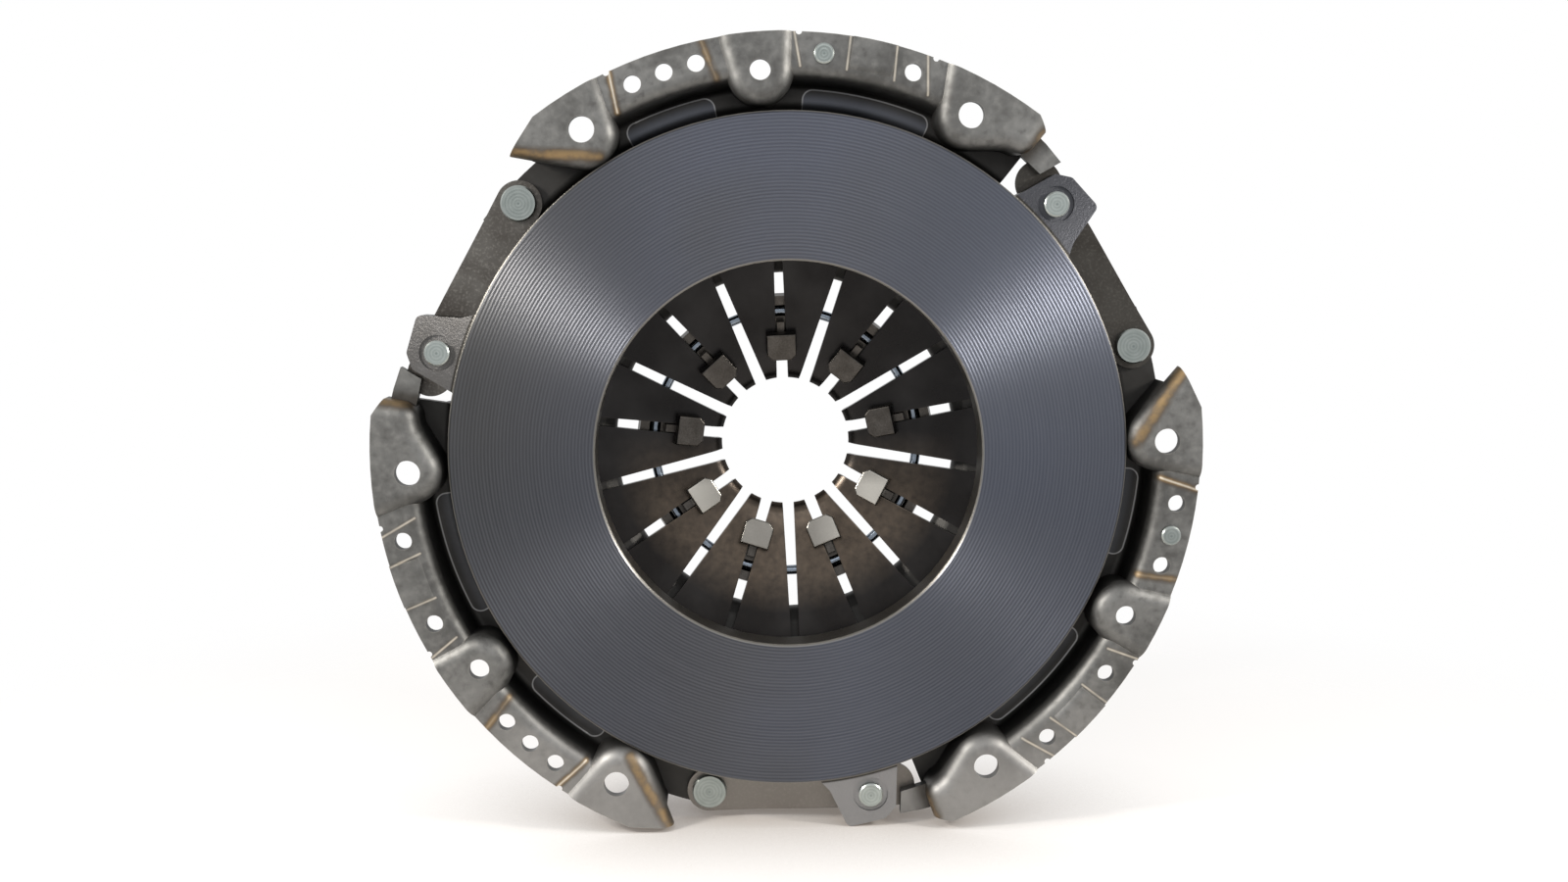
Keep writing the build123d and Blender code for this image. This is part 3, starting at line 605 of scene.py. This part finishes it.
@dataclass(frozen=True)
class ZincPlate:
    """Zinc-plated steel: pale with a green-blue cast, and turned rings and a centre mark on each head."""

    skin: str = "#8b918f"
    dull: str = "#707775"
    edge: str = "#a3a8a5"
    mark: str = "#5d6766"
    ring_pitch: float = 1.3

    def build(self, name: str, spots: tuple[Pair, ...], head: float) -> bpy.types.Material:
        """Make the material for heads round some spots.

        Args:
            name: Name of the material.
            spots: Radius in millimetres and angle in degrees of each kind of place, repeated by thirds.
            head: Radius of the heads, in millimetres.

        Returns:
            The finished material.
        """
        r = Recipe(name)
        away = None
        for radius, angle in spots:
            reach = r.from_spot(radius, angle)
            if away:
                reach = r.add("ShaderNodeMath", {0: away, 1: reach}, operation="MINIMUM")
            away = reach
        cloud = r.add("ShaderNodeTexNoise", {"Vector": r.place, "Scale": 1 / (3.5 * MM), "Detail": 4.0})
        wander = r.add("ShaderNodeMath", {0: cloud, 1: 3.0}, operation="MULTIPLY")
        turns = 2 * math.pi / (self.ring_pitch * MM)
        ring = r.add("ShaderNodeMath", {0: away, 1: turns, 2: wander}, operation="MULTIPLY_ADD")
        ring = r.add("ShaderNodeMath", {0: ring}, operation="SINE")
        share = r.add("ShaderNodeMath", {0: ring, 1: 0.2, 2: cloud}, operation="MULTIPLY_ADD")
        tone = r.add("ShaderNodeMix", {0: share, 6: self.skin, 7: self.dull}, data_type="RGBA")
        tone = r.lay(tone, self.edge, away, (head - 1.0) * MM, (head - 0.4) * MM, 0.55)
        tone = r.lay(tone, self.mark, away, 0.8 * MM, 0.3 * MM, 0.5)
        height = r.add("ShaderNodeMath", {0: ring, 1: 0.5, 2: cloud}, operation="MULTIPLY_ADD")
        return r.metal(tone, 0.33, height, 0.05)


@dataclass(frozen=True)
class WeightSteel:
    """Sintered steel, tumbled: grey-brown faces with a soft sheen, and painted light on the lower weights'
    heads.
    """

    skin: str = "#4c4946"
    dark: str = "#393633"
    # Painted light on the heads of the lower weights.
    lower_weight_light: str = "#b5b2ab"

    def build(self) -> bpy.types.Material:
        """Make the material.

        Returns:
            The finished material.
        """
        r = Recipe("sintered_steel")
        grain = r.add("ShaderNodeTexNoise", {"Vector": r.place, "Scale": 1 / (0.6 * MM), "Detail": 4.0})
        cloud = r.add("ShaderNodeTexNoise", {"Vector": r.place, "Scale": 1 / (5 * MM), "Detail": 4.0})
        share = r.add("ShaderNodeMath", {0: grain, 1: cloud}, operation="MULTIPLY")
        tone = r.lay(self.dark, self.skin, share, 0.12, 0.4)
        # Painted light: the heads of the lower weights, which face up, are lighter, more towards the sides.
        side = r.add("ShaderNodeMath", {0: r.across, 1: 0.004}, operation="ADD")
        side = r.add("ShaderNodeMath", {0: side}, operation="ABSOLUTE")
        side = r.add("ShaderNodeMapRange", {
            "Value": side, "From Min": 0.016, "From Max": 0.038, "To Min": 1.0, "To Max": 2.7})
        head = r.add("ShaderNodeMapRange", {"Value": r.radius, "From Min": 0.047, "From Max": 0.0455})
        tone = r.lay(tone, self.lower_weight_light, r.up, -0.006, -0.018, 0.31, (side, head))
        return r.metal(tone, 0.34, grain, 0.02)


@dataclass(frozen=True)
class CloudySteel:
    """Smooth steel with a faint cloudy skin."""

    name: str
    skin: str
    dark: str
    size: float                     # of the clouds, in millimetres
    detail: float
    gloss: float
    height: float                   # of the relief, in millimetres
    strength: float = 0.5

    def build(self) -> bpy.types.Material:
        """Make the material.

        Returns:
            The finished material.
        """
        r = Recipe(self.name)
        cloud = r.add("ShaderNodeTexNoise", {
            "Vector": r.place, "Scale": 1 / (self.size * MM), "Detail": self.detail})
        tone = r.add("ShaderNodeMix", {0: cloud, 6: self.skin, 7: self.dark}, data_type="RGBA")
        return r.metal(tone, self.gloss, cloud, self.height, self.strength)


DRAWN_WIRE = CloudySteel("drawn_wire", "#8a94a0", "#4c525a", 2.0, 3.0, 0.2, 0.01, 0.4)
RIVET_STEEL = CloudySteel("dark_rivet_steel", "#4b4946", "#33302d", 3.0, 4.0, 0.4, 0.04)


# ---------- the clutch

def plan(radius: float, angle: float, depth: float = 0.0) -> Vector:
    """Point in metres from a radius, an angle in degrees and a depth, in millimetres."""
    turned = math.radians(angle)
    return Vector((radius * math.cos(turned), depth, radius * math.sin(turned))) * MM


def break_edges(piece: bpy.types.Object, name: str, width: float) -> None:
    """Break a piece's sharp edges.

    Args:
        piece: The piece.
        name: Name of the modifier.
        width: Width of the broken edges, in millimetres.
    """
    edge = piece.modifiers.new(name, "BEVEL")
    edge.width = width * MM
    edge.segments = 2
    edge.limit_method = "ANGLE"
    edge.angle_limit = BROKEN_ANGLE


def link_mesh(name: str, bm: bmesh.types.BMesh) -> bpy.types.Object:
    """Link a finished shape to the scene, with its faces turned outwards.

    Args:
        name: Name of the object.
        bm: Its shape, in metres, which is used up.

    Returns:
        The new object.
    """
    bmesh.ops.recalc_face_normals(bm, faces=bm.faces)
    mesh = bpy.data.meshes.new(name)
    bm.to_mesh(mesh)
    bm.free()
    piece = bpy.data.objects.new(name, mesh)
    bpy.context.scene.collection.objects.link(piece)
    return piece


def dress(name: str, material: bpy.types.Material, bevel: float = 0.0,
          smooth_angle: float = SMOOTH_ANGLE) -> None:
    """Give a piece its finish, soft edges and smooth bends.

    Args:
        name: Name of the piece.
        material: Finish of all its faces.
        bevel: Width of its broken edges, in millimetres.
        smooth_angle: Edges sharper than this stay sharp, in degrees.
    """
    piece = bpy.data.objects[name]
    piece.data.materials.clear()
    piece.data.materials.append(material)
    piece.data.shade_smooth()
    piece.data.set_sharp_from_angle(angle=math.radians(smooth_angle))
    if bevel:
        break_edges(piece, "broken_edges", bevel)
    log.info("dressed %s as %s", name, material.name)


def new_piece(name: str, bm: bmesh.types.BMesh, material: bpy.types.Material,
              smooth_angle: float = SMOOTH_ANGLE) -> bpy.types.Object:
    """Put a finished shape in the scene.

    Args:
        name: Name of the piece.
        bm: Its shape, in metres.
        material: Its finish.
        smooth_angle: Edges sharper than this stay sharp, in degrees.

    Returns:
        The new object.
    """
    piece = link_mesh(name, bm)
    dress(name, material, smooth_angle=smooth_angle)
    return piece


@dataclass
class Cover:
    """The pressed cover and the rivets that go through it."""

    sheet: PressedSteel = PressedSteel()
    strap_rivet: Pair = (144.0, 17.0)
    lug_rivet: Pair = (142.3, 43.4)
    balance_rivets: tuple[Pair, ...] = ((154.7, 85.2), (154.7, 347.95))
    strap_head: float = 7.0
    lug_head: float = 4.9
    balance_head: float = 3.9
    sheet_edge: float = 0.4
    rivet_edge: float = 0.3

    def build(self) -> None:
        """Dress the cover."""
        dress("cover", self.sheet.build(), bevel=self.sheet_edge)
        # The lug rivets get a lighter copy of the zinc, as painted light on their raised heads.
        zinc, lit_zinc = ZincPlate(), ZincPlate(skin="#9ca3a1", dull="#7d8482")
        finishes = {
            "cover_strap_rivets": zinc.build("zinc_strap_rivets", (self.strap_rivet,), self.strap_head),
            "lug_rivets": lit_zinc.build("zinc_lug_rivets", (self.lug_rivet,), self.lug_head),
            "balance_rivets": zinc.build("zinc_balance_rivets", self.balance_rivets, self.balance_head),
            "fulcrum_rivets": RIVET_STEEL.build()}
        for name, finish in finishes.items():
            dress(name, finish, bevel=self.rivet_edge)


@dataclass
class PressurePlate:
    """The cast ring that clamps the disc."""

    iron: TurnedIron = TurnedIron()
    edge: float = 0.3

    def build(self) -> None:
        """Dress the plate."""
        dress("pressure_plate", self.iron.build(), bevel=self.edge)


@dataclass
class Diaphragm:
    """The slotted spring and the wires it rocks on."""

    outer_r: float = 125.5
    inner_r: float = 26.8
    thick: float = 2.8
    rim_depth: float = 26.056
    cone: float = 14.8
    lip: float = 3.4
    lip_angle: float = 42.0
    fingers: int = 18
    first_slot: float = 12.6
    slot_halves: Pair = (2.4, 1.6)
    root_r: float = 94.5
    root_hole_r: float = 4.6
    fulcrum: float = 34.0
    flattened: float = 0.16         # how much of its cone is left at full travel
    edge: float = 0.35
    bend: tuple[float, float, float] = (1.2, 0.9, 0.62)     # reach before and after the lip, and drop
    tip_share: float = 0.8
    segments: int = 360
    cone_steps: int = 13
    hole_steps: int = 20
    cut_past: float = 3.0
    cut_depths: Pair = (15.0, 75.0)
    wire_smooth: float = 80.0

    def section(self) -> list[Pair]:
        """Closed section of the spring as radius and depth, in millimetres.

        Returns:
            The points in order round it.
        """
        slope = math.tan(math.radians(self.cone))
        lip_r = self.inner_r + self.lip
        lip_depth = self.rim_depth + (self.outer_r - lip_r) * slope
        tip_depth = lip_depth + self.lip * math.tan(math.radians(self.lip_angle))
        across, bent = (Vector((math.sin(math.radians(a)), math.cos(math.radians(a)))) * self.thick
                        for a in (self.cone, self.lip_angle))
        middle = (across + bent) / 2
        before, after, drop = self.bend
        front = [(self.outer_r, self.rim_depth)]
        for k in range(1, self.cone_steps + 1):
            r = self.outer_r + (lip_r + before - self.outer_r) * k / self.cone_steps
            front.append((r, self.rim_depth + (self.outer_r - r) * slope))
        front += [(lip_r - after, lip_depth + drop), (self.inner_r, tip_depth)]
        back = [(r + across.x, y + across.y) for r, y in front[:-2]]
        back += [(front[-2][0] + middle.x, front[-2][1] + middle.y),
                 (self.inner_r + bent.x * self.tip_share, tip_depth + bent.y)]
        return front + list(reversed(back))

    def slot_cutter(self) -> bpy.types.Object:
        """All the slots with their round ends, as one solid to cut with.

        Returns:
            The solid, linked to the scene.
        """
        bm = bmesh.new()
        outline = [(self.inner_r - self.cut_past, -self.slot_halves[0])]
        half_turn = math.asin(self.slot_halves[1] / self.root_hole_r)
        for k in range(self.hole_steps + 1):
            a = math.pi + half_turn + (2 * math.pi - 2 * half_turn) * k / self.hole_steps
            outline.append((self.root_r + self.root_hole_r * math.cos(a), self.root_hole_r * math.sin(a)))
        outline.append((self.inner_r - self.cut_past, self.slot_halves[0]))
        for k in range(self.fingers):
            turn = math.radians(self.first_slot + k * FULL_TURN / self.fingers)
            spin = Matrix.Rotation(-turn, 4, "Y")
            near, far = ([bm.verts.new(spin @ (Vector((x, y, z)) * MM)) for x, z in outline]
                         for y in self.cut_depths)
            bm.faces.new(near)
            bm.faces.new(list(reversed(far)))
            for a, b, c, d in zip(near, near[1:] + near[:1], far[1:] + far[:1], far):
                bm.faces.new((d, c, b, a))
        return link_mesh("slot_cutter", bm)

    def build(self) -> None:
        """Build the spring and dress its wires."""
        bm = bmesh.new()
        section = self.section()
        rings = [[bm.verts.new(plan(r, k * FULL_TURN / self.segments, y)) for r, y in section]
                 for k in range(self.segments)]
        for one, two in zip(rings, rings[1:] + rings[:1]):
            for i in range(len(section)):
                j = (i + 1) % len(section)
                bm.faces.new((one[i], one[j], two[j], two[i]))
        spring = new_piece("diaphragm", bm, SpringSteel().build())
        cutter = self.slot_cutter()
        cut = spring.modifiers.new("slots", "BOOLEAN")
        cut.object = cutter
        cut.solver = "EXACT"
        break_edges(spring, "soft_edges", self.edge)
        graph = bpy.context.evaluated_depsgraph_get()
        spring.data = bpy.data.meshes.new_from_object(spring.evaluated_get(graph))
        spring.modifiers.clear()
        spring.data.set_sharp_from_angle(angle=math.radians(SMOOTH_ANGLE))
        bpy.data.objects.remove(cutter)
        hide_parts("diaphragm_spring")
        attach(spring, "cover_body")
        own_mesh(spring)
        wire = DRAWN_WIRE.build()
        for name in ("fulcrum_ring_front", "fulcrum_ring_rear", "weight_ring"):
            dress(name, wire, smooth_angle=self.wire_smooth)


@dataclass
class Weights:
    """The nine centrifugal weights."""

    count: int = 9
    edge: float = 0.35

    def build(self) -> None:
        """Dress the weights."""
        steel = WeightSteel().build()
        for k in range(self.count):
            dress(f"weight_{k + 1}", steel, bevel=self.edge)


class Leaf(Enum):
    """Layers of a drive strap, by their place in the pack."""

    FRONT = 0
    MIDDLE = 1
    REAR = 2


@dataclass
class DriveStraps:
    """Three packs of spring leaves that carry the torque from the cover to the plate."""

    cover_rivet: Pair = (144.0, 17.0)
    lug_rivet: Pair = (142.3, 43.4)
    tail: float = 10.0
    half_width: float = 9.0
    leaf: float = 0.8
    leaf_gap: float = 0.03
    step_in: float = 0.08           # each leaf is this much narrower than the one before it
    tip_half: float = 0.02          # half width left where a rounded end closes
    flat: float = 13.0
    cover_depth: float = 17.6
    lug_depth: float = 15.3
    end_steps: int = 12
    run_steps: int = 18
    smooth: float = 40.0

    def outline(self, layer: Leaf) -> list[Pair]:
        """Outline of a leaf, from end to end.

        Args:
            layer: Where the leaf lies in its pack.

        Returns:
            Places along it with its half widths there, in millimetres.
        """
        start, end = self.ends(0)
        length = (end - start).length / MM + self.tail
        radius = self.half_width - self.step_in * layer.value
        turned = [math.pi / 2 * k / self.end_steps for k in range(self.end_steps + 1)]
        rows = [(-radius * math.cos(t), radius * math.sin(t)) for t in turned]
        rows += [(length * k / self.run_steps, radius) for k in range(1, self.run_steps)]
        rows += [(length + radius * math.sin(t), radius * math.cos(t)) for t in turned]
        return rows

    def ends(self, third: int) -> tuple[Vector, Vector]:
        """Rivet centres of a strap, in metres."""
        turned = third * THIRD
        return (plan(self.cover_rivet[0], self.cover_rivet[1] + turned),
                plan(self.lug_rivet[0], self.lug_rivet[1] + turned))

    def depth_at(self, place: float, span: float) -> float:
        """Depth of the front leaf's front face at a place along the strap."""
        share = min(max((place - self.flat) / (span - 2 * self.flat), 0.0), 1.0)
        share = share * share * (3 - 2 * share)
        return self.cover_depth + (self.lug_depth - self.cover_depth) * share

    def build(self) -> None:
        """Build the nine leaves."""
        steel = StrapSteel().build()
        for third in range(3):
            start, end = self.ends(third)
            along = (end - start).normalized()
            side = Vector((0, 1, 0)).cross(along)
            span = (end - start).length / MM
            for layer in Leaf:
                bm = bmesh.new()
                rows = []
                for place, half in self.outline(layer):
                    near = self.depth_at(place, span) + layer.value * self.leaf
                    base = start + along * place * MM
                    half = max(half, self.tip_half)
                    rear = near + self.leaf - self.leaf_gap
                    corners = [(-half, near), (half, near), (half, rear), (-half, rear)]
                    rows.append([bm.verts.new(base + side * x * MM + Vector((0, y * MM, 0)))
                                 for x, y in corners])
                for one, two in zip(rows, rows[1:]):
                    for i in range(4):
                        j = (i + 1) % 4
                        bm.faces.new((one[i], one[j], two[j], two[i]))
                bm.faces.new(rows[0])
                bm.faces.new(list(reversed(rows[-1])))
                name = f"strap_{third + 1}_{layer.name.lower()}"
                piece = new_piece(name, bm, steel, smooth_angle=self.smooth)
                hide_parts(f"drive_strap_{third + 1}_{layer.name.lower()}_leaf")
                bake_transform(piece)


# ---------- stage

@dataclass(frozen=True)
class Lamp:
    """A soft rectangular lamp: place and size in metres, power in watts."""

    name: str
    place: tuple[float, float, float]
    size: Pair
    power: float
    colour: str

    def build(self) -> None:
        """Add the lamp, pointed at the clutch."""
        data = bpy.data.lights.new(self.name, "AREA")
        data.shape = "RECTANGLE"
        data.size, data.size_y = self.size
        data.energy = self.power
        data.color = linear(self.colour)[:3]
        lamp = bpy.data.objects.new(self.name, data)
        lamp.location = self.place
        lamp.rotation_euler = (-Vector(self.place)).to_track_quat("-Z", "Y").to_euler()
        bpy.context.scene.collection.objects.link(lamp)


@dataclass
class Studio:
    """White floor and surroundings, soft lamps and the camera."""

    floor_height: float = -152.0
    azimuth: float = -1.849
    elevation: float = 7.209
    distance: float = 604.0
    focal: float = 35.357
    offset: Pair = (2.155, -5.915)
    target_depth: float = 4.0
    sensor: float = 36.0
    floor_half: float = 4.0             # metres, as all sizes of the stage below
    floor_glow: float = 0.66
    floor_reach: Pair = (0.22, 0.5)
    floor_matt: str = "#f4f1ee"
    floor_dull: str = "#969391"
    # Painted shadow under the clutch.
    painted_shadow_tint: str = "#80766d"
    painted_shadow_reach: float = 0.1
    room_light: float = 0.55
    lamps: tuple[Lamp, ...] = (
        Lamp("left_softbox", (-0.52, -0.26, 0.27), (0.1, 0.1), 5.3, "#fffaf2"),
        Lamp("right_softbox", (0.55, -0.24, 0.23), (0.1, 0.1), 4.1, "#fffaf2"),
        Lamp("top_softbox", (0.0, -1.0, 0.55), (0.8, 0.3), 1.5, "#ffffff"))

    def camera(self) -> None:
        """Place the camera."""
        az, el = math.radians(self.azimuth), math.radians(self.elevation)
        back = Vector((math.sin(az) * math.cos(el), -math.cos(az) * math.cos(el), math.sin(el)))
        right = Vector((0, 0, 1)).cross(back).normalized()
        up = back.cross(right)
        place = Vector((0, self.target_depth, 0)) + back * self.distance
        place -= right * self.offset[0] + up * self.offset[1]
        data = bpy.data.cameras.new("camera")
        data.sensor_width = self.sensor
        data.lens = self.focal
        data.clip_start = 0.01
        camera = bpy.data.objects.new("camera", data)
        camera.matrix_world = Matrix.Translation(place * MM) @ Matrix((right, up, back)).transposed().to_4x4()
        bpy.context.scene.collection.objects.link(camera)
        bpy.context.scene.camera = camera

    def floor(self) -> None:
        """Lay the floor, which keeps the clutch's shadow, with a painted shadow added under the clutch."""
        bm = bmesh.new()
        bmesh.ops.create_grid(bm, x_segments=8, y_segments=8, size=self.floor_half)
        floor = link_mesh("floor", bm)
        floor.location = (0, 0, self.floor_height * MM)
        material = bpy.data.materials.new("white_floor")
        material.use_nodes = True
        tree = material.node_tree
        tree.nodes.clear()
        rays = add(tree, "ShaderNodeLightPath")
        matt = add(tree, "ShaderNodeBsdfDiffuse", {"Color": self.floor_matt})
        # Seen by the camera the floor glows, less in the hollow under the clutch, where a warm painted shadow
        # lies.
        hollow = add(tree, "ShaderNodeAmbientOcclusion", {"Distance": self.painted_shadow_reach}, samples=8)
        hollow = add(tree, "ShaderNodeMapRange", {
            "Value": hollow.outputs["AO"], "From Min": 0.35, "From Max": 0.9})
        tint = add(tree, "ShaderNodeMix", {0: hollow, 6: self.painted_shadow_tint, 7: "#ffffff"}, data_type="RGBA")
        glow = add(tree, "ShaderNodeEmission", {"Color": tint, "Strength": self.floor_glow})
        dull = add(tree, "ShaderNodeBsdfDiffuse", {"Color": self.floor_dull})
        lit = add(tree, "ShaderNodeAddShader", {0: dull, 1: glow})
        both = add(tree, "ShaderNodeMixShader", {0: rays.outputs["Is Camera Ray"], 1: matt, 2: lit})
        # Away from the clutch the floor fades out, so that no horizon shows.
        place = add(tree, "ShaderNodeTexCoord").outputs["Object"]
        reach = add(tree, "ShaderNodeVectorMath", {0: place}, operation="LENGTH")
        near, far = self.floor_reach
        fade = add(tree, "ShaderNodeMapRange", {
            "Value": reach, "From Min": near, "From Max": far}, interpolation_type="SMOOTHSTEP")
        clear = add(tree, "ShaderNodeBsdfTransparent")
        faded = add(tree, "ShaderNodeMixShader", {0: fade, 1: both, 2: clear})
        add(tree, "ShaderNodeOutputMaterial", {"Surface": faded})
        floor.data.materials.append(material)

    def world(self) -> None:
        """White surroundings, dimmer in the light they shed than where they are seen or reflected."""
        world = bpy.data.worlds.new("studio")
        bpy.context.scene.world = world
        world.use_nodes = True
        tree = world.node_tree
        tree.nodes.clear()
        rays = add(tree, "ShaderNodeLightPath")
        seen = rays.outputs["Is Camera Ray"]
        for kind in ("Is Transmission Ray", "Is Glossy Ray"):
            seen = add(tree, "ShaderNodeMath", {0: seen, 1: rays.outputs[kind]}, operation="MAXIMUM")
        room = add(tree, "ShaderNodeBackground", {"Color": "#ffffff", "Strength": self.room_light})
        white = add(tree, "ShaderNodeBackground", {"Color": "#ffffff", "Strength": 1.0})
        both = add(tree, "ShaderNodeMixShader", {0: seen, 1: room, 2: white})
        add(tree, "ShaderNodeOutputWorld", {"Surface": both})

    def build(self) -> None:
        """Set the whole stage."""
        self.camera()
        self.floor()
        self.world()
        for lamp in self.lamps:
            lamp.build()
        bpy.context.scene.view_settings.view_transform = "Standard"


def main() -> None:
    """Load the frame, dress the clutch and set the stage."""
    logging.basicConfig(level=logging.INFO, format="%(name)s: %(message)s")
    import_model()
    for part in (Cover(), PressurePlate(), Diaphragm(), Weights(), DriveStraps(), Studio()):
        part.build()


if __name__ == "__main__":
    main()
